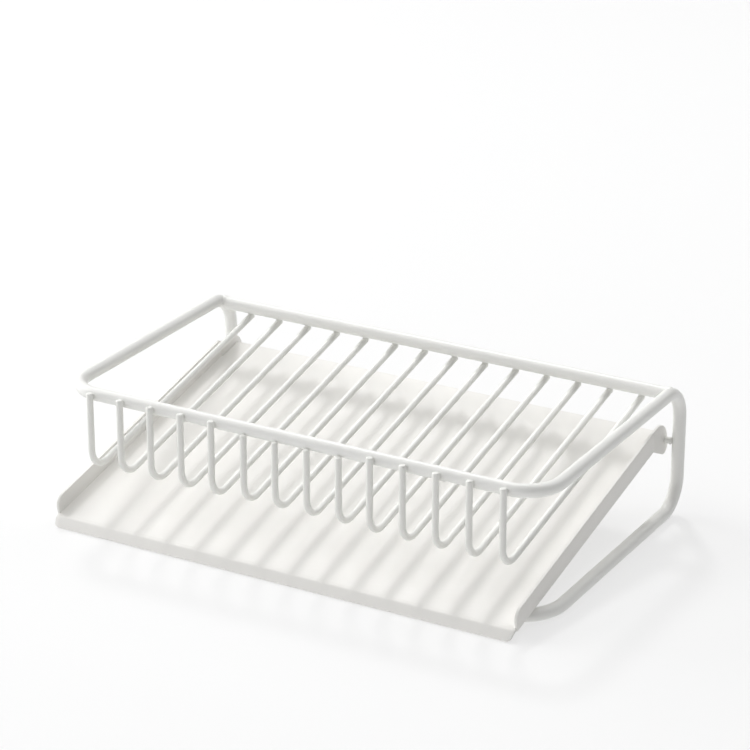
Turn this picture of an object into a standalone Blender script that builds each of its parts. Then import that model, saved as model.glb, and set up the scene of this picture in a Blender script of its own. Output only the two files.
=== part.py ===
"""Waterfall soap dish in powder-coated steel.

One closed loop of bent rod makes the stand: top rails, rear legs, skids and a low cross bar.
Fourteen bent wires hang between its front rail and a rear bar and hold the soap. Under them a
folded sheet tray turns on two pins at the rear legs and rests on the low cross bar, so that the
water runs forward over its lip.

Metres, +Z up, +Y to the rear. The origin is on the floor under the middle of the dish.
"""

import bmesh
import bpy
from math import cos, pi, radians, sin, tan
from mathutils import Matrix, Vector

# The gap that pieces keep where they touch or are welded, and the overrun of every cut
GAP = 0.0003
OVERRUN = 0.002

# Points of the rod loop's two halves that lie closer than this are one point
MERGE_DISTANCE = GAP / 3

# Rod loop, from centre line to centre line
ROD_D = 0.0040
FRAME_W = 0.1555
FRAME_D = 0.0900
FRAME_H = 0.0380
TOP_CORNER_R = 0.0105
TOP_BEND_R = 0.0100
LOW_BEND_R = 0.0095
LOW_CORNER_R = 0.0135
ROD_SIDES = 16

# The rear bar is welded part of the way round the two top bends
REAR_BAR_TURN = radians(28)

# Basket wires: the outer ones end in front of the front rail, the inner ones under its edge.
# The inset is from a side rail to the nearest wire, from centre line to centre line.
WIRE_D = 0.0020
WIRE_COUNT = 14
WIRE_INSET = 0.010475
INNER_WIRES = (6, 7, 8, 9)
WIRE_SLOPE = radians(12.3)
WIRE_BEND_R = 0.0060
WIRE_TIP_RISE = 0.0015
WIRE_TAIL = 0.0012
WIRE_TIP_ROUND = 0.0005
INNER_SETBACK = 0.0007
WIRE_SIDES = 12

# Folded tray, measured over the outside of the sheet
SHEET_T = 0.0008
TRAY_SIDE_GAP = 0.00095
TRAY_OVERHANG = 0.0085
TRAY_SLOPE = radians(13.0)
FLANGE_H = 0.0059
FOLD_R = 0.0020
FLANGE_SETBACK = 0.0018
FLANGE_CORNER_R = 0.0026
RELIEF = 0.0006
LIP_FOLD_R = 0.0010
LIP_ANGLE = radians(17)
LIP_L = 0.0038
LIP_CORNER_R = 0.0015

# Behind the folds the floor runs on between the lugs, which go round the hinge pins
HINGE_INSET = 0.0014
HINGE_H = 0.0223
FOLD_TO_HINGE = 0.0096
FLOOR_TO_HINGE = 0.0009
LUG_REAR = 0.0019
LUG_DROP = 0.0029
LUG_TOP_R = 0.0045
LUG_LOW_R = 0.0026
LUG_FRONT_R = 0.0012
PIN_D = 0.0020
PIN_STUB = 0.0013
PIN_ROUND = 0.0003
PIN_SIDES = 16

# Turns of a bend are cut into steps no larger than this
BEND_STEP = radians(15)

# Places that follow from the sizes, in the dish's own frame with y = 0 at the front rail
ROD_R = ROD_D / 2
WIRE_R = WIRE_D / 2
RAIL_X = FRAME_W / 2
WIRE_PITCH = (FRAME_W - 2 * WIRE_INSET) / (WIRE_COUNT - 1)
TRAY_W = FRAME_W - ROD_D - 2 * TRAY_SIDE_GAP
SKID_Z = ROD_R * cos(pi / ROD_SIDES)
RAIL_Z = SKID_Z + FRAME_H
BAR_Y = FRAME_D - TOP_BEND_R + TOP_BEND_R * sin(REAR_BAR_TURN)
BAR_Z = RAIL_Z - TOP_BEND_R + TOP_BEND_R * cos(REAR_BAR_TURN)
HINGE_Y = FRAME_D - HINGE_INSET

# Places in the tray's own frame: origin on the hinge, y up the slope, z square to the floor.
# SEAT is the centre line of the low cross bar, which carries the floor.
SEAT = Matrix.Rotation(-TRAY_SLOPE, 3, "X") @ Vector((0, -HINGE_Y, SKID_Z - HINGE_H))
FLOOR_LOW = SEAT.z + ROD_R + GAP
FLOOR_MID = FLOOR_LOW + SHEET_T / 2
FOLD_MID_R = FOLD_R + SHEET_T / 2
LIP_MID_R = LIP_FOLD_R + SHEET_T / 2
FLOOR_FRONT = SEAT.y - TRAY_OVERHANG
SIDE_FRONT = FLOOR_FRONT + FLANGE_SETBACK
SIDE_MID = TRAY_W / 2 - SHEET_T / 2
FLOOR_EDGE = SIDE_MID - FOLD_MID_R
LUG_FRONT = RELIEF - FOLD_TO_HINGE
LUG_INNER_X = SIDE_MID - SHEET_T / 2
FLANGE_TOP = FLOOR_LOW + FLANGE_H
FOLD_TOP = FLOOR_MID + FOLD_MID_R


def lip_reach():
    """How far the lip's lower edge lies in front of the front rail, on level ground."""
    run = FLOOR_FRONT - LIP_MID_R * sin(LIP_ANGLE) - LIP_L * cos(LIP_ANGLE)
    drop = FLOOR_MID - LIP_MID_R * (1 - cos(LIP_ANGLE)) - LIP_L * sin(LIP_ANGLE)
    level = run * cos(TRAY_SLOPE) - drop * sin(TRAY_SLOPE)
    half_sheet = SHEET_T / 2 * sin(TRAY_SLOPE + LIP_ANGLE)
    return -(HINGE_Y + level) + half_sheet


# The shift that puts the origin under the middle of the dish, front to rear
CENTRE_Y = (FRAME_D + SKID_Z - lip_reach()) / 2


def clear_scene():
    for obj in list(bpy.data.objects):
        bpy.data.objects.remove(obj, do_unlink=True)


def white_coat(name, roughness):
    """Satin white powder coat."""
    material = bpy.data.materials.new(name)
    material.use_nodes = True
    shader = material.node_tree.nodes["Principled BSDF"]
    shader.inputs["Base Color"].default_value = (0.86, 0.86, 0.84, 1)
    shader.inputs["Roughness"].default_value = roughness
    shader.inputs["Metallic"].default_value = 0
    return material


def add_object(name, mesh, material, place=(0, 0, 0), tilt=0):
    obj = bpy.data.objects.new(name, mesh)
    if not mesh.materials:
        mesh.materials.append(material)
    obj.location = (place[0], place[1] - CENTRE_Y, place[2])
    obj.rotation_euler.x = tilt
    bpy.context.scene.collection.objects.link(obj)
    return obj


def new_vertices(geometry):
    return [part for part in geometry if isinstance(part, bmesh.types.BMVert)]


def new_edges(geometry):
    return [part for part in geometry if isinstance(part, bmesh.types.BMEdge)]


def extrude_edges(mesh, edges, move):
    """Draws faces out of open edges along a vector, and returns the edges at their far side."""
    grown = bmesh.ops.extrude_edge_only(mesh, edges=edges)["geom"]
    vertices = new_vertices(grown)
    bmesh.ops.translate(mesh, verts=vertices, vec=move)
    far = set(vertices)
    return [edge for edge in new_edges(grown) if set(edge.verts) <= far]


def spin_edges(mesh, edges, centre, axis, angle):
    """Turns open edges about an axis, and returns the edges at their far side."""
    vertices = list({vertex for edge in edges for vertex in edge.verts})
    steps = max(2, round(abs(angle) / BEND_STEP))
    spun = bmesh.ops.spin(mesh, geom=edges + vertices, cent=centre, axis=axis, angle=angle, steps=steps)
    return new_edges(spun["geom_last"])


class BentRod:
    """A round rod, made as a wire bender makes it: fed straight, then turned about a centre."""

    def __init__(self, diameter, sides, start, heading, up):
        self.radius = diameter / 2
        self.at = Vector(start)
        self.heading = Vector(heading)
        self.mesh = bmesh.new()
        side = Vector(up).cross(self.heading)
        turn = Matrix((side, Vector(up), self.heading)).transposed().to_4x4()
        flat_down = Matrix.Rotation(pi / sides, 4, "Z")
        bmesh.ops.create_circle(self.mesh, segments=sides, radius=self.radius,
                                matrix=Matrix.Translation(self.at) @ turn @ flat_down)
        self.ring = list(self.mesh.edges)

    def feed(self, length):
        self.ring = extrude_edges(self.mesh, self.ring, self.heading * length)
        self.at = self.at + self.heading * length

    def bend(self, radius, angle, towards):
        towards = Vector(towards)
        centre = self.at + towards * radius
        axis = self.heading.cross(towards)
        self.ring = spin_edges(self.mesh, self.ring, centre, axis, angle)
        turn = Matrix.Rotation(angle, 3, axis)
        self.at = centre + turn @ (self.at - centre)
        self.heading = turn @ self.heading

    def close(self, rounding):
        """Rounds the rod's edge in two steps and closes its end."""
        for step in (1, 2):
            angle = step * pi / 4
            rise = rounding * (sin(angle) - sin(angle - pi / 4))
            share = (self.radius - rounding * (1 - cos(angle))) / (
                self.radius - rounding * (1 - cos(angle - pi / 4)))
            self.feed(rise)
            vertices = list({vertex for edge in self.ring for vertex in edge.verts})
            bmesh.ops.scale(self.mesh, verts=vertices, vec=(share, share, share),
                            space=Matrix.Translation(-self.at))
        bmesh.ops.edgeloop_fill(self.mesh, edges=self.ring)

    def finish(self, name):
        return finish_mesh(self.mesh, name)


def finish_mesh(mesh, name):
    """Turns the faces out, shades round surfaces smooth and stores the mesh."""
    bmesh.ops.recalc_face_normals(mesh, faces=mesh.faces)
    data = bpy.data.meshes.new(name)
    mesh.to_mesh(data)
    mesh.free()
    data.shade_smooth()
    data.set_sharp_from_angle(angle=radians(40))
    return data


def straight_rod(name, diameter, sides, length, rounding):
    """A rod along +X with both ends closed, centred on its own middle."""
    middle = Vector((0, 0, 0))
    rod = BentRod(diameter, sides, middle, (1, 0, 0), (0, 0, 1))
    start_ring = rod.ring
    rod.feed(length / 2 - rounding)
    rod.close(rounding)
    rod.ring = start_ring
    rod.at = middle
    rod.heading = Vector((-1, 0, 0))
    rod.feed(length / 2 - rounding)
    rod.close(rounding)
    return rod.finish(name)


def make_frame_loop(material):
    """Half of the loop, from the middle of the front rail to the middle of the low cross bar."""
    rod = BentRod(ROD_D, ROD_SIDES, (0, 0, RAIL_Z), (1, 0, 0), (0, 0, 1))
    quarter = pi / 2
    rod.feed(RAIL_X - TOP_CORNER_R)
    rod.bend(TOP_CORNER_R, quarter, (0, 1, 0))
    rod.feed(FRAME_D - TOP_CORNER_R - TOP_BEND_R)
    rod.bend(TOP_BEND_R, quarter, (0, 0, -1))
    rod.feed(FRAME_H - TOP_BEND_R - LOW_BEND_R)
    rod.bend(LOW_BEND_R, quarter, (0, -1, 0))
    rod.feed(FRAME_D - LOW_BEND_R - LOW_CORNER_R)
    rod.bend(LOW_CORNER_R, quarter, (-1, 0, 0))
    rod.feed(RAIL_X - LOW_CORNER_R)
    loop = add_object("frame_loop", rod.finish("frame_loop"), material)
    mirror = loop.modifiers.new("other_half", "MIRROR")
    mirror.merge_threshold = MERGE_DISTANCE
    return loop


def make_rear_bar(material):
    length = 2 * (RAIL_X - ROD_R - GAP)
    mesh = straight_rod("rear_bar", ROD_D, ROD_SIDES, length, GAP)
    return add_object("rear_bar", mesh, material, (0, BAR_Y, BAR_Z))


def wire_mesh(name, wire_y, tip_z):
    """A basket wire: down from its tip, round the trough and up the slope to the rear bar."""
    seat = (ROD_R + WIRE_R + GAP) / cos(WIRE_SLOPE)
    corner_z = BAR_Z - seat - (BAR_Y - wire_y) * tan(WIRE_SLOPE)
    turn = pi / 2 + WIRE_SLOPE
    tangent = WIRE_BEND_R * tan(turn / 2)
    slope_length = (BAR_Y + WIRE_TAIL - wire_y) / cos(WIRE_SLOPE) - tangent
    bend_start = Vector((0, wire_y, corner_z + tangent))

    wire = BentRod(WIRE_D, WIRE_SIDES, bend_start, (0, 0, -1), (0, -1, 0))
    start_ring = wire.ring
    wire.bend(WIRE_BEND_R, turn, (0, 1, 0))
    wire.feed(slope_length - WIRE_TIP_ROUND)
    wire.close(WIRE_TIP_ROUND)
    wire.ring = start_ring
    wire.at = bend_start
    wire.heading = Vector((0, 0, 1))
    wire.feed(tip_z - bend_start.z - WIRE_TIP_ROUND)
    wire.close(WIRE_TIP_ROUND)
    return wire.finish(name)


def make_wires(material):
    """Fourteen wires at one pitch. The outer ones share a mesh, and so do the inner ones."""
    outer_y = -(ROD_R + WIRE_R + GAP)
    outer = wire_mesh("outer_wire", outer_y, RAIL_Z + WIRE_TIP_RISE)
    inner = wire_mesh("inner_wire", outer_y + INNER_SETBACK, RAIL_Z - ROD_R - GAP)
    for number in range(1, WIRE_COUNT + 1):
        x = (number - (WIRE_COUNT + 1) / 2) * WIRE_PITCH
        mesh = inner if number in INNER_WIRES else outer
        add_object(f"basket_wire_{number:02d}", mesh, material, (x, 0, 0))


def arc_points(centre, radius, start, end):
    """Points of an arc in the tray's side plane, as (y, z)."""
    count = max(2, round(abs(end - start) / BEND_STEP))
    angles = [start + (end - start) * step / count for step in range(count + 1)]
    return [(centre[0] + radius * cos(a), centre[1] + radius * sin(a)) for a in angles]


def flange_outline():
    """The flat of a side flange and its lug, from the fold's rear end round to its front end."""
    quarter = pi / 2
    corner_r = min(FLANGE_CORNER_R, FLANGE_TOP - FOLD_TOP - GAP)
    outline = [(LUG_FRONT, FOLD_TOP)]
    outline += arc_points((LUG_FRONT + LUG_FRONT_R, LUG_FRONT_R - LUG_DROP), LUG_FRONT_R, pi, pi + quarter)
    outline += arc_points((LUG_REAR - LUG_LOW_R, LUG_LOW_R - LUG_DROP), LUG_LOW_R, -quarter, 0)
    outline += arc_points((LUG_REAR - LUG_TOP_R, FLANGE_TOP - LUG_TOP_R), LUG_TOP_R, 0, quarter)
    outline += arc_points((SIDE_FRONT + corner_r, FLANGE_TOP - corner_r), corner_r, quarter, pi)
    return outline


def make_tray(material):
    """The tray's mid surface, folded from its floor, then given the sheet's thickness."""
    mesh = bmesh.new()
    rows = (FLOOR_FRONT, SIDE_FRONT - RELIEF, SIDE_FRONT, -FOLD_TO_HINGE, LUG_FRONT, -FLOOR_TO_HINGE)
    left = [mesh.verts.new((-FLOOR_EDGE, y, FLOOR_MID)) for y in rows]
    right = [mesh.verts.new((FLOOR_EDGE, y, FLOOR_MID)) for y in rows]
    for row in range(len(rows) - 1):
        mesh.faces.new((left[row], right[row], right[row + 1], left[row + 1]))

    front_edges = [mesh.edges.get((left[0], right[0]))]
    for side, edge_vertices in ((-1, left), (1, right)):
        front_edges.append(widen_floor(mesh, side, edge_vertices[:2], TRAY_W / 2))
        add_side_flange(mesh, side, edge_vertices[2:4])
        widen_floor(mesh, side, edge_vertices[4:], LUG_INNER_X - GAP)
    add_lip(mesh, front_edges)

    place = (0, HINGE_Y, HINGE_H)
    tray = add_object("tray", finish_mesh(mesh, "tray"), material, place, TRAY_SLOPE)
    sheet = tray.modifiers.new("sheet", "SOLIDIFY")
    sheet.thickness = SHEET_T
    sheet.offset = 0
    sheet.use_even_offset = True
    cut_pin_holes(tray, material)
    return tray


def widen_floor(mesh, side, floor_vertices, half_width):
    """Takes the floor further out ahead of a flange or behind it, and returns its new front edge."""
    edge = mesh.edges.get(floor_vertices)
    outer = extrude_edges(mesh, [edge], Vector((side * (half_width - FLOOR_EDGE), 0, 0)))[0]
    front_corner = min(outer.verts, key=lambda vertex: vertex.co.y)
    return mesh.edges.get((floor_vertices[0], front_corner))


def add_side_flange(mesh, side, floor_vertices):
    """Fold and flange on one side, with the lug behind them."""
    edge = mesh.edges.get(floor_vertices)
    centre = Vector((side * FLOOR_EDGE, 0, FOLD_TOP))
    folded = spin_edges(mesh, [edge], centre, (0, -side, 0), pi / 2)[0]
    front, rear = sorted(folded.verts, key=lambda vertex: vertex.co.y)
    outline = [mesh.verts.new((side * SIDE_MID, y, z)) for y, z in flange_outline()]
    mesh.faces.new([front, rear] + outline)


def add_lip(mesh, edges):
    """The pouring lip: a slight fold down, with its lower corners rounded."""
    centre = Vector((0, FLOOR_FRONT, FLOOR_MID - LIP_MID_R))
    folded = spin_edges(mesh, edges, centre, (1, 0, 0), LIP_ANGLE)
    ahead = Vector((0, -cos(LIP_ANGLE), -sin(LIP_ANGLE)))
    far = extrude_edges(mesh, folded, ahead * LIP_L)
    ends = [vertex for edge in far for vertex in edge.verts
            if abs(abs(vertex.co.x) - TRAY_W / 2) < GAP]
    bmesh.ops.bevel(mesh, geom=list(set(ends)), offset=LIP_CORNER_R, segments=4,
                    profile=0.5, affect="VERTICES")


def cut_pin_holes(tray, material):
    """One long cutter goes through both lugs."""
    length = TRAY_W + 2 * OVERRUN
    mesh = straight_rod("pin_cutter", PIN_D + 2 * GAP, PIN_SIDES, length, GAP)
    cutter = add_object("pin_cutter", mesh, material, (0, HINGE_Y, HINGE_H))
    cutter.hide_render = True
    cutter.display_type = "WIRE"
    cut = tray.modifiers.new("pin_holes", "BOOLEAN")
    cut.operation = "DIFFERENCE"
    cut.object = cutter


def make_hinge_pins(material):
    """Stub pins on the inner sides of the rear legs, through the tray's lugs."""
    reach = (ROD_R ** 2 - (HINGE_INSET - PIN_D / 2) ** 2) ** 0.5
    outer_x = RAIL_X - reach - GAP
    inner_x = LUG_INNER_X - PIN_STUB
    mesh = straight_rod("hinge_pin", PIN_D, PIN_SIDES, outer_x - inner_x, PIN_ROUND)
    for side, name in ((-1, "hinge_pin_left"), (1, "hinge_pin_right")):
        place = (side * (outer_x + inner_x) / 2, HINGE_Y, HINGE_H)
        add_object(name, mesh, material, place)


def main():
    clear_scene()
    rod_coat = white_coat("rod_coat", 0.42)
    wire_coat = white_coat("wire_coat", 0.42)
    sheet_coat = white_coat("sheet_coat", 0.48)
    make_frame_loop(rod_coat)
    make_rear_bar(rod_coat)
    make_wires(wire_coat)
    make_tray(sheet_coat)
    make_hinge_pins(wire_coat)


main()
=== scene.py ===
"""Dresses the waterfall soap dish: a welded rod stand with its basket of wires, and a folded tray.

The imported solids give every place. The rods and wires are drawn again as smooth tubes with their
welds, and the tray as one sheet with soft, coated edges. Metres, +Z up, +Y to the rear.
"""

from math import cos, pi, radians, sin, tan

import bmesh
import bpy
import numpy as np
from mathutils import Matrix, Vector


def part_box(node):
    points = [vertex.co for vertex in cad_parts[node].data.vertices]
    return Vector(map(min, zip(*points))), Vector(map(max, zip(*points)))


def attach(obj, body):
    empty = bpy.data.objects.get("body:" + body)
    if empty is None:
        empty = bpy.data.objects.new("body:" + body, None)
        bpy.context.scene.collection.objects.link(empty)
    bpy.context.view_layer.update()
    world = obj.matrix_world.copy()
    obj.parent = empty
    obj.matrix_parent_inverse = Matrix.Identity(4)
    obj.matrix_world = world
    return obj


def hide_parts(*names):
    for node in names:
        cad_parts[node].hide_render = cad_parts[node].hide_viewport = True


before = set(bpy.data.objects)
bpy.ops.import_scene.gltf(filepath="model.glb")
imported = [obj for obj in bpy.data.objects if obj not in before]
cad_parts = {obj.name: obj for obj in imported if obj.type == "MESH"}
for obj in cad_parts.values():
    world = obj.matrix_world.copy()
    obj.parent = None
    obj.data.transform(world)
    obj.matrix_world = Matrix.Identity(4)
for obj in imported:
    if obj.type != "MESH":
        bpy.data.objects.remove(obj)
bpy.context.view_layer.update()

QUARTER_TURN = pi / 2

# The photograph's camera: its frame, its focal length in pixels, and the pixel where AIM shows
PHOTO_PX = 750
FOCAL_PX = 2945.0
AZIMUTH = radians(29.479)
ELEVATION = radians(22.273)
AIM = Vector((0, 0.0054, 0.01996))
AIM_DEPTH = 0.868635
AIM_PX = Vector((374.08, 448.91))
SENSOR_MM = 36

# Bends of the rod loop and of the wires
ROD_NOMINAL_R = 0.0020
TOP_CORNER_R = 0.0105
TOP_BEND_R = 0.0100
LOW_BEND_R = 0.0095
LOW_CORNER_R = 0.0135
WIRE_R = 0.0010
WIRE_SLOPE = radians(12.3)
WIRE_BEND_R = 0.0060
WIRE_COUNT = 14
INNER_WIRES = (6, 7, 8, 9)
BEND_STEP = radians(3.5)
ROD_SIDES = 48
WIRE_SIDES = 32

# The gap that the solids keep at a weld, and how far the drawn wires and pins run past their solids
GAP = 0.0003
INNER_REACH = 0.0014
TAIL_REACH = 0.0004
PIN_REACH = 2 * GAP

# Sheet of the tray
SHEET_T = 0.0008
TRAY_SLOPE = radians(13.0)
TRAY_OVERHANG = 0.0085
FLANGE_H = 0.0059
FLANGE_SETBACK = 0.0007
FLANGE_CORNER_R = 0.0034
NOTCH = 0.0002
LIP_FOLD_R = 0.0007
LIP_ANGLE = radians(34)
LIP_L = 0.0028
LIP_CORNER_R = 0.0011
LIP_TAPER = 0.0006
LEFT_OUT_REAR = 0.0004
LEFT_OUT_FRONT = 0.0020
FOLD_TO_HINGE = 0.0096
FLOOR_TO_HINGE = 0.0009

# The lug's outline, measured from the hinge: it steps in, and its low edge slants to a round heel
LUG_INSET = 0.0008
STEP_FRONT = -0.0092
STEP_REAR = -0.0076
LUG_REAR = 0.0015
LUG_TOP = 0.0069
LUG_TOP_R = 0.0061
LUG_SLANT = radians(38.2)
HEEL_R = 0.0025
HEEL = -0.0017
HOLE_R = 0.00104
DRILL_OVER_WIDTH = 1.1

# Soft edges of the sheet, and how meshes are joined and shaded
COATED_EDGE = 0.00026
EDGE_STEPS = 3
EDGE_OVER = radians(50)
SHARP_OVER = radians(40)
TOUCH = 0.00001
ARC_STEPS = 10

# Cut ends and welds. A bead's half sizes are across the dish, along its run and out from the run
CUT_END_R = 0.00045
COLLAR_L = 0.0010
COLLAR_RISE = 0.00018
WELD_SIDES = 28
FRONT_WELD = np.array((0.00080, 0.00115, 0.00050))
REAR_WELD = np.array((0.00065, 0.00105, 0.00045))
PIN_WELD = np.array((0.00045, 0.00112, 0.00112))
ROUND_WAVES = 3
ROUND_WAVE_H = 0.05
LONG_WAVES = 4
LONG_WAVE_H = 0.04

# Powder coat: grains to the metre, detail of the noise, and the span that it moves over
NOISE_BAND = (0.3, 0.7)
TONE_GRAINS = 55.0
TONE_DETAIL = 3
TONE_SPAN = (0.985, 1.0)
GLOSS_GRAINS = 170.0
GLOSS_DETAIL = 2
GLOSS_SPAN = (0.92, 1.08)
PEEL_DETAIL = 1.5

# Studio
FLOOR_HALF = 3.0
FLOOR_COLOUR = (0.35, 0.35, 0.35, 1)
FLOOR_ROUGHNESS = 0.9
FLOOR_GLOW = 0.56
SKY_GLOW = 0.11
WHITE = (1, 1, 1, 1)

# The key light is small and far away, and casts the wires' shadows
KEY_FROM = (-0.425, 0.560, 0.711)
KEY_DISTANCE = 6.0
KEY_SIZE = 0.95
KEY_POWER = 95

# Broad, near lights: where each comes from, and its power
BROAD_DISTANCE = 1.4
BROAD_SIZE = 1.2
BROAD_LIGHTS = (
    ("left_low", (-0.927, 0.0, 0.375), 14.5),
    ("left_high", (-0.574, 0.0, 0.819), 3.7),
    ("front_low", (0.0, -0.927, 0.375), 3.1),
    ("front_high", (-0.287, -0.497, 0.819), 3.4),
    ("rear_high", (0.287, 0.497, 0.819), 8.0),
)


def corner(node, high):
    """The high or the low corner of a solid's box."""
    return np.array(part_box(node)[1 if high else 0])


# Places read from the solids
BAR_LOW, BAR_HIGH = corner("rear_bar", False), corner("rear_bar", True)
LOOP_LOW, LOOP_HIGH = corner("frame_loop", False), corner("frame_loop", True)
PIN_LOW, PIN_HIGH = corner("hinge_pin_right", False), corner("hinge_pin_right", True)
ROD_R = (BAR_HIGH[2] - BAR_LOW[2]) / 2
BAR = (BAR_LOW + BAR_HIGH) / 2
RAIL_X = LOOP_HIGH[0] - ROD_R
FRONT_Y = LOOP_LOW[1] + ROD_R
REAR_Y = LOOP_HIGH[1] - ROD_R
RAIL_Z = LOOP_HIGH[2] - ROD_R
SKID_Z = LOOP_LOW[2] + ROD_R
PIN = (PIN_LOW + PIN_HIGH) / 2
PIN_R = (PIN_HIGH[2] - PIN_LOW[2]) / 2

# The tray's own frame: origin on the hinge, y up the slope, z square to the floor
TILT = np.array(Matrix.Rotation(TRAY_SLOPE, 3, "X"))
HINGE = np.array((0, PIN[1], PIN[2]))
SEAT = (np.array((0, FRONT_Y, SKID_Z)) - HINGE) @ TILT
HALF_W = corner("tray", True)[0]
SIDE_MID = HALF_W - SHEET_T / 2
REAR_FLOOR_X = SIDE_MID - LUG_INSET - SHEET_T / 2 - NOTCH / 2
FLOOR_LOW = SEAT[2] + ROD_NOMINAL_R + GAP
FLOOR_MID = FLOOR_LOW + SHEET_T / 2
FLANGE_TOP = FLOOR_LOW + FLANGE_H
FLOOR_FRONT = SEAT[1] - TRAY_OVERHANG
SIDE_FRONT = FLOOR_FRONT + FLANGE_SETBACK


def link(name, data):
    """A new object for a mesh, a camera or a light, linked to the scene."""
    obj = bpy.data.objects.new(name, data)
    bpy.context.scene.collection.objects.link(obj)
    return obj


def place_camera():
    """Camera at the photograph's angle, set so that AIM falls on its pixel."""
    back = Vector((sin(AZIMUTH) * cos(ELEVATION), -cos(AZIMUTH) * cos(ELEVATION), sin(ELEVATION)))
    right = Vector((cos(AZIMUTH), sin(AZIMUTH), 0))
    up = back.cross(right)
    middle = PHOTO_PX / 2
    metres_per_px = AIM_DEPTH / FOCAL_PX
    aside = right * (AIM_PX.x - middle) * metres_per_px
    above = up * (AIM_PX.y - middle) * metres_per_px
    place = AIM + back * AIM_DEPTH - aside + above
    camera = bpy.data.cameras.new("photo_camera")
    camera.sensor_width = SENSOR_MM
    camera.lens = SENSOR_MM * FOCAL_PX / PHOTO_PX
    obj = link("photo_camera", camera)
    obj.matrix_world = Matrix.Translation(place) @ Matrix((right, up, back)).transposed().to_4x4()
    bpy.context.scene.camera = obj


# Surfaces

def unit(vectors):
    """Each vector divided by its own length."""
    return vectors / np.linalg.norm(vectors, axis=-1, keepdims=True)


def grid_faces(rows, columns, round_columns=False, round_rows=False):
    """Quads between neighbours of a rows by columns grid. A round direction joins its last to its first."""
    index = np.arange(rows * columns).reshape(rows, columns)
    right = np.roll(index, -1, axis=1)
    below = np.roll(index, -1, axis=0)
    beyond = np.roll(right, -1, axis=0)
    quads = np.stack((index, right, beyond, below), axis=-1)
    quads = quads[:rows if round_rows else rows - 1, :columns if round_columns else columns - 1]
    return quads.reshape(-1, 4).tolist()


def tube(path, radius, sides, reference, closed=False):
    """A round tube: ring point j at station k is the path's point k plus radius k times
    (side k times the cosine of angle j, plus top k times its sine), where side is the reference
    crossed with the path's direction and top is the direction crossed with side.
    """
    if closed:
        ahead = np.roll(path, -1, axis=0) - np.roll(path, 1, axis=0)
    else:
        ahead = np.gradient(path, axis=0)
    ahead = unit(ahead)
    side = unit(np.cross(np.array(reference, float), ahead))
    top = np.cross(ahead, side)
    turn = np.linspace(0, 2 * pi, sides, endpoint=False)[None, :, None]
    radius = np.broadcast_to(radius, len(path))[:, None, None]
    rings = path[:, None] + radius * (side[:, None] * np.cos(turn) + top[:, None] * np.sin(turn))
    faces = grid_faces(len(path), sides, round_columns=True, round_rows=closed)
    if not closed:
        first = np.arange(sides)
        faces += [first[::-1].tolist(), (first + (len(path) - 1) * sides).tolist()]
    return rings.reshape(-1, 3), faces


def arc(centre, start, towards, angle):
    """Points on a bend: the centre, plus start times the cosine of the turn, plus towards times the
    turn's sine.
    """
    turn = np.linspace(0, angle, round(angle / BEND_STEP) + 1)[:, None]
    return np.array(centre) + np.array(start) * np.cos(turn) + np.array(towards) * np.sin(turn)


def crosswise(along, y, z):
    """Points from side to side of the dish, at one y and one z."""
    return np.stack((along, np.full_like(along, y), np.full_like(along, z)), axis=-1)


def quarter_shares():
    """Shares of a radius that step evenly round a corner, measured from its outer tangent."""
    return 1 - np.cos(np.linspace(0, QUARTER_TURN, ARC_STEPS))


def corner_drop(distance, radius):
    """How far a rounded corner lies below its edge, at a distance from the outline's end."""
    inside = np.clip(radius - distance, 0, radius)
    return radius - np.sqrt(radius ** 2 - inside ** 2)


def weld_bead(centre, half_size, ahead, seed):
    """A weld: an ellipsoid whose second axis is ahead, and whose radius has two low waves. One goes
    round the bead and dies out at its ends, and the other goes from end to end.
    """
    along = np.linspace(0, pi, WELD_SIDES // 2 + 1)[:, None]
    around = np.linspace(0, 2 * pi, WELD_SIDES, endpoint=False)[None, :]
    round_wave = ROUND_WAVE_H * np.sin(ROUND_WAVES * around + seed) * np.sin(along)
    long_wave = LONG_WAVE_H * np.sin(LONG_WAVES * along + 2 * seed)
    ripple = 1 + round_wave + long_wave
    ball = np.stack((np.sin(along) * np.cos(around),
                     np.sin(along) * np.sin(around),
                     np.cos(along) * np.ones_like(around)), axis=-1)
    across = np.array((1.0, 0, 0))
    ahead = unit(np.array(ahead, float))
    axes = np.stack((across, ahead, np.cross(across, ahead)))
    points = np.array(centre) + (ball * ripple[..., None] * half_size) @ axes
    return points.reshape(-1, 3), grid_faces(len(along), WELD_SIDES, round_columns=True)


def mesh_of(name, points, faces):
    """A mesh from an array of points and a list of faces."""
    data = bpy.data.meshes.new(name)
    data.from_pydata(points.tolist(), [], faces)
    return data


def shade(data):
    """Smooth shading, with a crease where two faces meet at a sharp angle."""
    data.shade_smooth()
    data.set_sharp_from_angle(angle=SHARP_OVER)


def add_piece(name, parts, coat, body, nodes):
    """Joins surfaces into one smooth mesh that stands for its solids and rides on its body."""
    mesh = bmesh.new()
    for points, faces in parts:
        data = mesh_of("part", points, faces)
        mesh.from_mesh(data)
        bpy.data.meshes.remove(data)
    bmesh.ops.remove_doubles(mesh, verts=mesh.verts, dist=TOUCH)
    bmesh.ops.recalc_face_normals(mesh, faces=mesh.faces)
    data = bpy.data.meshes.new(name)
    mesh.to_mesh(data)
    mesh.free()
    data.materials.append(coat)
    shade(data)
    obj = link(name, data)
    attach(obj, body)
    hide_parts(*nodes)
    return obj


# Stand

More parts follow.
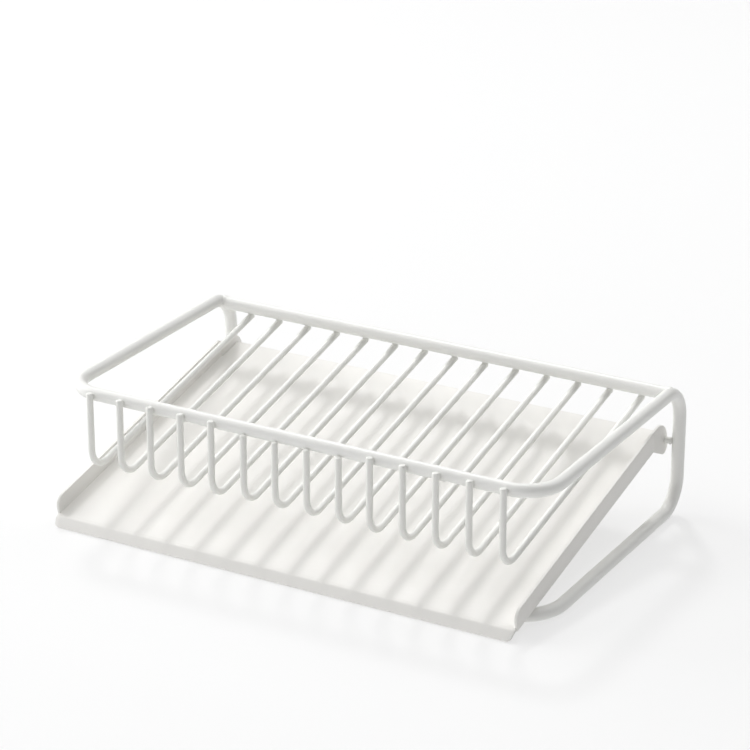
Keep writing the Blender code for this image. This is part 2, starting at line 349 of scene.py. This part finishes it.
def loop_path():
    """The closed centre line of the rod loop: four bends on the right, and their mirror on the left."""
    corner_c = (RAIL_X - TOP_CORNER_R, FRONT_Y + TOP_CORNER_R, RAIL_Z)
    bend_c = (RAIL_X, REAR_Y - TOP_BEND_R, RAIL_Z - TOP_BEND_R)
    low_c = (RAIL_X, REAR_Y - LOW_BEND_R, SKID_Z + LOW_BEND_R)
    cross_c = (RAIL_X - LOW_CORNER_R, FRONT_Y + LOW_CORNER_R, SKID_Z)
    right = np.concatenate((
        arc(corner_c, (0, -TOP_CORNER_R, 0), (TOP_CORNER_R, 0, 0), QUARTER_TURN),
        arc(bend_c, (0, 0, TOP_BEND_R), (0, TOP_BEND_R, 0), QUARTER_TURN),
        arc(low_c, (0, LOW_BEND_R, 0), (0, 0, -LOW_BEND_R), QUARTER_TURN),
        arc(cross_c, (LOW_CORNER_R, 0, 0), (0, -LOW_CORNER_R, 0), QUARTER_TURN)))
    left = right[::-1] * np.array((-1, 1, 1))
    return np.concatenate((right, left))


def add_rod_loop(coat):
    """The loop as one closed tube."""
    loop = tube(loop_path(), ROD_R, ROD_SIDES, (1, 1, 1), closed=True)
    add_piece("rod_loop", [loop], coat, "stand", ["frame_loop"])


def add_rear_bar(coat):
    """The bar runs into the two bends. Over its last stretch its radius grows by the rise of a weld
    collar times the square of the share that is passed.
    """
    face = RAIL_X - ROD_R
    collar = np.linspace(face - COLLAR_L, face, ARC_STEPS)
    along = np.concatenate((collar, (RAIL_X - ROD_R / 2,)))
    along = np.concatenate((-along[::-1], along))
    share = np.clip((np.abs(along) - face + COLLAR_L) / COLLAR_L, 0, 1)
    path = crosswise(along, BAR[1], BAR[2])
    bar = tube(path, ROD_R + COLLAR_RISE * share ** 2, ROD_SIDES, (0, 0, 1))
    add_piece("rear_rod", [bar], coat, "stand", ["rear_bar"])


def wire_path(node, reach):
    """Straight down from the tip, round the trough, and up the slope to the rear end. The reach is how
    far the tip runs up past its solid.
    """
    low, high = corner(node, False), corner(node, True)
    flat = (high[0] - low[0]) / 2
    x = (low[0] + high[0]) / 2
    wire_y = low[1] + flat
    trough_c = (x, wire_y + WIRE_BEND_R, low[2] + flat + WIRE_BEND_R)
    easing = CUT_END_R * quarter_shares()[:, None]
    down = np.array((x, wire_y, high[2] + reach)) + easing * np.array((0, 0, -1))
    bend = arc(trough_c, (0, -WIRE_BEND_R, 0), (0, 0, -WIRE_BEND_R), QUARTER_TURN + WIRE_SLOPE)
    up_slope = np.array((0, cos(WIRE_SLOPE), sin(WIRE_SLOPE)))
    run = (high[1] - bend[-1, 1]) / cos(WIRE_SLOPE) - flat * tan(WIRE_SLOPE) + TAIL_REACH
    rise = bend[-1] + (run - easing[::-1]) * up_slope
    return np.concatenate((down, bend, rise)), up_slope


def add_wires(coat):
    """Fourteen wires, each welded under the rear bar. The outer ones are welded to the front rail's
    face, and the inner ones run up into its underside. A wire's radius drops at its ends by the arc of
    their corner.
    """
    for number in range(1, WIRE_COUNT + 1):
        node = f"basket_wire_{number:02d}"
        inner = number in INNER_WIRES
        path, up_slope = wire_path(node, INNER_REACH if inner else 0)
        step = np.linalg.norm(np.diff(path, axis=0), axis=1)
        travelled = np.concatenate(((0,), np.cumsum(step)))
        from_end = np.minimum(travelled, travelled[-1] - travelled)
        wire = tube(path, WIRE_R - corner_drop(from_end, CUT_END_R), WIRE_SIDES, (1, 0, 0))
        x = path[0, 0]
        parts = [wire]
        if not inner:
            rail_face = (x, FRONT_Y - ROD_R - GAP / 2, RAIL_Z)
            parts.append(weld_bead(rail_face, FRONT_WELD, (0, 0, 1), number))
        below = np.cross((1.0, 0, 0), up_slope) * -(ROD_R + GAP / 2)
        under_bar = np.array((x, BAR[1], BAR[2])) + below
        parts.append(weld_bead(under_bar, REAR_WELD, up_slope, number))
        add_piece(f"wire_{number:02d}", parts, coat, "stand", [node])


def add_pins(coat):
    """Stub pins with a rounded inner end, welded to the inner sides of the rear legs."""
    for side, name in ((-1, "left"), (1, "right")):
        outward = np.concatenate((CUT_END_R * quarter_shares(), (PIN_HIGH[0] + PIN_REACH - PIN_LOW[0],)))
        path = crosswise(side * (PIN_LOW[0] + outward), PIN[1], PIN[2])
        pin = tube(path, PIN_R - corner_drop(outward, CUT_END_R), WIRE_SIDES, (0, 0, 1))
        foot = (side * (PIN_HIGH[0] + GAP), PIN[1], PIN[2])
        bead = weld_bead(foot, PIN_WELD, (0, 0, 1), side)
        add_piece(f"pin_{name}", [pin, bead], coat, "stand", [f"hinge_pin_{name}"])


# Tray

def panel(first, second):
    """A ruled surface: the points of one edge joined to the points of the other, one for one."""
    return np.concatenate((first, second)), grid_faces(2, len(first))


def at_x(x, yz):
    """Points of the tray's side plane, set at one x or at one x each."""
    return np.column_stack((np.broadcast_to(x, len(yz)), yz))


def plate_arc(centre, radius, first, last):
    """A corner of the side's outline: the centre plus the radius times the cosine and the sine of an
    angle that steps evenly from first to last.
    """
    turn = np.linspace(first, last, ARC_STEPS)
    return np.array(centre) + radius * np.column_stack((np.cos(turn), np.sin(turn)))


def side_stations():
    """Places along a side where its outline bends, from the flange's front corner to the fold's end."""
    return np.concatenate((SIDE_FRONT + FLANGE_CORNER_R * quarter_shares(), (-FOLD_TO_HINGE,)))


def flange_panel(side):
    """The flange stands on the floor's edge, and its front corner is rounded."""
    y = side_stations()
    low = np.column_stack((y, np.full_like(y, FLOOR_MID)))
    top = np.column_stack((y, FLANGE_TOP - corner_drop(y - SIDE_FRONT, FLANGE_CORNER_R)))
    return panel(at_x(side * SIDE_MID, low), at_x(side * SIDE_MID, top))


def lug_panel(side):
    """The lug: its low edge slants to the round heel, its top edge turns down to the rear, and between
    the flange and the lug the sheet steps in by a smooth share of its inset: three times the square of
    the share that is passed, less twice its cube.
    """
    step = np.linspace(STEP_FRONT, STEP_REAR, ARC_STEPS)
    share = (step - STEP_FRONT) / (STEP_REAR - STEP_FRONT)
    share = share ** 2 * (3 - 2 * share)
    heel = plate_arc((LUG_REAR - HEEL_R, HEEL), HEEL_R, -QUARTER_TURN - LUG_SLANT, 0)
    slant = heel[0] + (step - heel[0, 0])[:, None] * np.array((1, -tan(LUG_SLANT)))
    brow = plate_arc((LUG_REAR - LUG_TOP_R, LUG_TOP - LUG_TOP_R), LUG_TOP_R, QUARTER_TURN, 0)
    crest = np.column_stack((step, FLANGE_TOP + share * (LUG_TOP - FLANGE_TOP)))
    low = np.concatenate((((-FOLD_TO_HINGE, FLOOR_MID),), slant, heel))
    top = np.concatenate((((-FOLD_TO_HINGE, FLANGE_TOP),), crest, brow))
    inset = LUG_INSET * np.concatenate(((0,), share, np.ones(ARC_STEPS)))
    x = side * (SIDE_MID - inset)
    return panel(at_x(x, low), at_x(x, top))


def floor_panels():
    """The lip, its fold and the floor as one profile carried across, then the narrower floor between
    the lugs. The lip's half width shrinks by a share of its length and, at the end, by the arc of its
    corner.
    """
    radius = LIP_FOLD_R + SHEET_T / 2
    turn = np.linspace(0, LIP_ANGLE, ARC_STEPS)
    fold_y = FLOOR_FRONT - radius * np.sin(turn)
    fold_z = FLOOR_MID - radius * (1 - np.cos(turn))
    fold = np.column_stack((fold_y, fold_z))
    length = (LIP_L - LIP_CORNER_R * quarter_shares())[::-1]
    lip = fold[-1] - length[:, None] * np.array((cos(LIP_ANGLE), sin(LIP_ANGLE)))
    level = np.concatenate((side_stations()[::-1], (SIDE_FRONT - NOTCH,)))
    profile = np.concatenate((np.column_stack((level, np.full_like(level, FLOOR_MID))), fold, lip))
    travelled = np.concatenate((np.zeros(len(level) + len(fold)), length))
    outer = SIDE_MID - corner_drop(LIP_L - travelled, LIP_CORNER_R) - LIP_TAPER * travelled / LIP_L
    inner = outer - (SIDE_MID - REAR_FLOOR_X)
    columns = (-outer, -inner, inner, outer)
    points = np.stack([at_x(x, profile) for x in columns])
    rear = np.array(((-FOLD_TO_HINGE, FLOOR_MID), (-FLOOR_TO_HINGE, FLOOR_MID)))
    return [(points.reshape(-1, 3), grid_faces(len(columns), len(profile))),
            panel(at_x(-REAR_FLOOR_X, rear), at_x(REAR_FLOOR_X, rear))]


def run_out(points):
    """The left side runs out towards the front, as in the photograph, and the right side stays. A point
    moves by its share of the way to the left, times a shift that grows evenly from rear to front.
    """
    forward = np.clip(points[:, 1] / FLOOR_FRONT, 0, 1)
    leftward = 0.5 - points[:, 0] / (2 * HALF_W)
    shift = leftward * (LEFT_OUT_REAR + (LEFT_OUT_FRONT - LEFT_OUT_REAR) * forward)
    return points - shift[:, None] * np.array((1, 0, 0))


def pin_drill():
    """A rod along the hinge, a little wider than the pins and longer than the tray."""
    along = np.array((-DRILL_OVER_WIDTH, DRILL_OVER_WIDTH)) * HALF_W
    points, faces = tube(crosswise(along, PIN[1], PIN[2]), HOLE_R, WIRE_SIDES, (0, 0, 1))
    return link("drill", mesh_of("drill", points, faces))


def add_tray(coat):
    """The sheet's mid surface gets its thickness, its two pin holes and the coating's soft edges."""
    parts = floor_panels() + [build(side) for build in (flange_panel, lug_panel) for side in (-1, 1)]
    parts = [(run_out(points) @ TILT.T + HINGE, faces) for points, faces in parts]
    tray = add_piece("folded_tray", parts, coat, "tray", ["tray"])
    sheet = tray.modifiers.new("sheet", "SOLIDIFY")
    sheet.thickness = SHEET_T
    sheet.offset = 0
    sheet.use_even_offset = True
    drill = pin_drill()
    hole = tray.modifiers.new("pin_holes", "BOOLEAN")
    hole.operation = "DIFFERENCE"
    hole.object = drill
    soft = tray.modifiers.new("coated_edge", "BEVEL")
    soft.width = COATED_EDGE
    soft.segments = EDGE_STEPS
    soft.limit_method = "ANGLE"
    soft.angle_limit = EDGE_OVER
    evaluated = tray.evaluated_get(bpy.context.evaluated_depsgraph_get())
    finished = bpy.data.meshes.new_from_object(evaluated)
    tray.modifiers.clear()
    tray.data = finished
    shade(finished)
    bpy.data.objects.remove(drill)


# Finishes

def powder_coat_group():
    """Powder coat: fine orange peel, and a faint change of tone and gloss over a few millimetres."""
    group = bpy.data.node_groups.new("powder_coat", "ShaderNodeTree")
    for name, kind, value in (("Coat Colour", "NodeSocketColor", (0.8, 0.8, 0.8, 1)),
                              ("Peel Size", "NodeSocketFloat", 0.0011),
                              ("Peel Height", "NodeSocketFloat", 0.00001),
                              ("Roughness", "NodeSocketFloat", 0.4)):
        socket = group.interface.new_socket(name=name, in_out="INPUT", socket_type=kind)
        socket.default_value = value
    for name, kind in (("Colour", "NodeSocketColor"),
                       ("Gloss", "NodeSocketFloat"),
                       ("Height", "NodeSocketFloat")):
        group.interface.new_socket(name=name, in_out="OUTPUT", socket_type=kind)
    nodes, links = group.nodes, group.links
    given = nodes.new("NodeGroupInput")
    result = nodes.new("NodeGroupOutput")
    place = nodes.new("ShaderNodeTexCoord")

    def feed(socket, value):
        """Sets a socket to a number, or links it to another socket."""
        if isinstance(value, float):
            socket.default_value = value
        else:
            links.new(value, socket)

    def math_node(operation, first, second):
        node = nodes.new("ShaderNodeMath")
        node.operation = operation
        feed(node.inputs[0], first)
        feed(node.inputs[1], second)
        return node.outputs[0]

    def noise(grains, detail):
        """Noise with so many grains to the metre, which is a number or a socket."""
        texture = nodes.new("ShaderNodeTexNoise")
        texture.inputs["Detail"].default_value = detail
        links.new(place.outputs["Object"], texture.inputs["Vector"])
        feed(texture.inputs["Scale"], grains)
        return texture.outputs["Fac"]

    def spread(fac, span):
        """Maps noise from its middle band on to a span."""
        ramp = nodes.new("ShaderNodeMapRange")
        for name, value in zip(("From Min", "From Max", "To Min", "To Max"), NOISE_BAND + span):
            ramp.inputs[name].default_value = value
        links.new(fac, ramp.inputs["Value"])
        return ramp.outputs["Result"]

    tone = nodes.new("ShaderNodeMix")
    tone.data_type = "RGBA"
    tone.blend_type = "MULTIPLY"
    tone.inputs["Factor"].default_value = 1
    links.new(given.outputs["Coat Colour"], tone.inputs["A"])
    links.new(spread(noise(TONE_GRAINS, TONE_DETAIL), TONE_SPAN), tone.inputs["B"])
    links.new(tone.outputs["Result"], result.inputs["Colour"])
    gloss = spread(noise(GLOSS_GRAINS, GLOSS_DETAIL), GLOSS_SPAN)
    links.new(math_node("MULTIPLY", given.outputs["Roughness"], gloss), result.inputs["Gloss"])
    peel = noise(math_node("DIVIDE", 1.0, given.outputs["Peel Size"]), PEEL_DETAIL)
    links.new(math_node("MULTIPLY", peel, given.outputs["Peel Height"]), result.inputs["Height"])
    return group


def coat_material(name, group, colour, roughness, peel_size, peel_height):
    """One coated finish: the powder coat's colour, gloss and height go into the shader."""
    material = bpy.data.materials.new(name)
    material.use_nodes = True
    nodes, links = material.node_tree.nodes, material.node_tree.links
    shader = nodes["Principled BSDF"]
    coat = nodes.new("ShaderNodeGroup")
    coat.node_tree = group
    coat.inputs["Coat Colour"].default_value = colour
    coat.inputs["Roughness"].default_value = roughness
    coat.inputs["Peel Size"].default_value = peel_size
    coat.inputs["Peel Height"].default_value = peel_height
    bump = nodes.new("ShaderNodeBump")
    bump.inputs["Strength"].default_value = 1
    bump.inputs["Distance"].default_value = 1
    links.new(coat.outputs["Colour"], shader.inputs["Base Color"])
    links.new(coat.outputs["Gloss"], shader.inputs["Roughness"])
    links.new(coat.outputs["Height"], bump.inputs["Height"])
    links.new(bump.outputs["Normal"], shader.inputs["Normal"])
    return material


# Studio

def add_floor():
    """A plain pale floor under the skids. It glows a little, as a lit white table does."""
    material = bpy.data.materials.new("floor_paint")
    material.use_nodes = True
    shader = material.node_tree.nodes["Principled BSDF"]
    shader.inputs["Base Color"].default_value = FLOOR_COLOUR
    shader.inputs["Roughness"].default_value = FLOOR_ROUGHNESS
    shader.inputs["Emission Color"].default_value = WHITE
    shader.inputs["Emission Strength"].default_value = FLOOR_GLOW
    edge = np.array(((-1, -1, 0), (1, -1, 0), (1, 1, 0), (-1, 1, 0))) * FLOOR_HALF
    data = mesh_of("floor", edge, [(0, 1, 2, 3)])
    data.materials.append(material)
    floor = link("floor", data)


def add_softbox(name, direction, distance, size, power):
    """A round soft light that shines on the dish from a direction."""
    light = bpy.data.lights.new(name, "AREA")
    light.shape = "DISK"
    light.size = size
    light.energy = power
    towards = Vector(direction).normalized()
    turn = towards.to_track_quat("Z", "Y").to_matrix().to_4x4()
    link(name, light).matrix_world = Matrix.Translation(towards * distance) @ turn


def add_sky():
    """An even white glow from all round."""
    world = bpy.data.worlds.new("studio")
    world.use_nodes = True
    background = world.node_tree.nodes["Background"]
    background.inputs["Color"].default_value = WHITE
    background.inputs["Strength"].default_value = SKY_GLOW
    bpy.context.scene.world = world


place_camera()
powder_coat = powder_coat_group()
# The rod coat is a little lighter than the wire coat. That is painted light: it stands in for more light
# falling on the front rail.
rod_coat = coat_material("rod_coat", powder_coat, (0.855, 0.855, 0.83, 1), roughness=0.38,
                         peel_size=0.0012, peel_height=0.000012)
wire_coat = coat_material("wire_coat", powder_coat, (0.83, 0.83, 0.80, 1), roughness=0.40,
                          peel_size=0.0010, peel_height=0.000010)
# The sheet coat is warmer than the rod and wire coats. That warm tint is a painted reflection of a warm
# colour nearby.
sheet_coat = coat_material("sheet_coat", powder_coat, (0.836, 0.824, 0.795, 1), roughness=0.50,
                           peel_size=0.0009, peel_height=0.000008)
add_rod_loop(rod_coat)
add_rear_bar(rod_coat)
add_wires(wire_coat)
add_pins(wire_coat)
add_tray(sheet_coat)
add_floor()
add_softbox("key", KEY_FROM, KEY_DISTANCE, KEY_SIZE, KEY_POWER)
for light_name, light_from, light_power in BROAD_LIGHTS:
    add_softbox(light_name, light_from, BROAD_DISTANCE, BROAD_SIZE, light_power)
add_sky()
bpy.context.scene.view_settings.view_transform = "Standard"
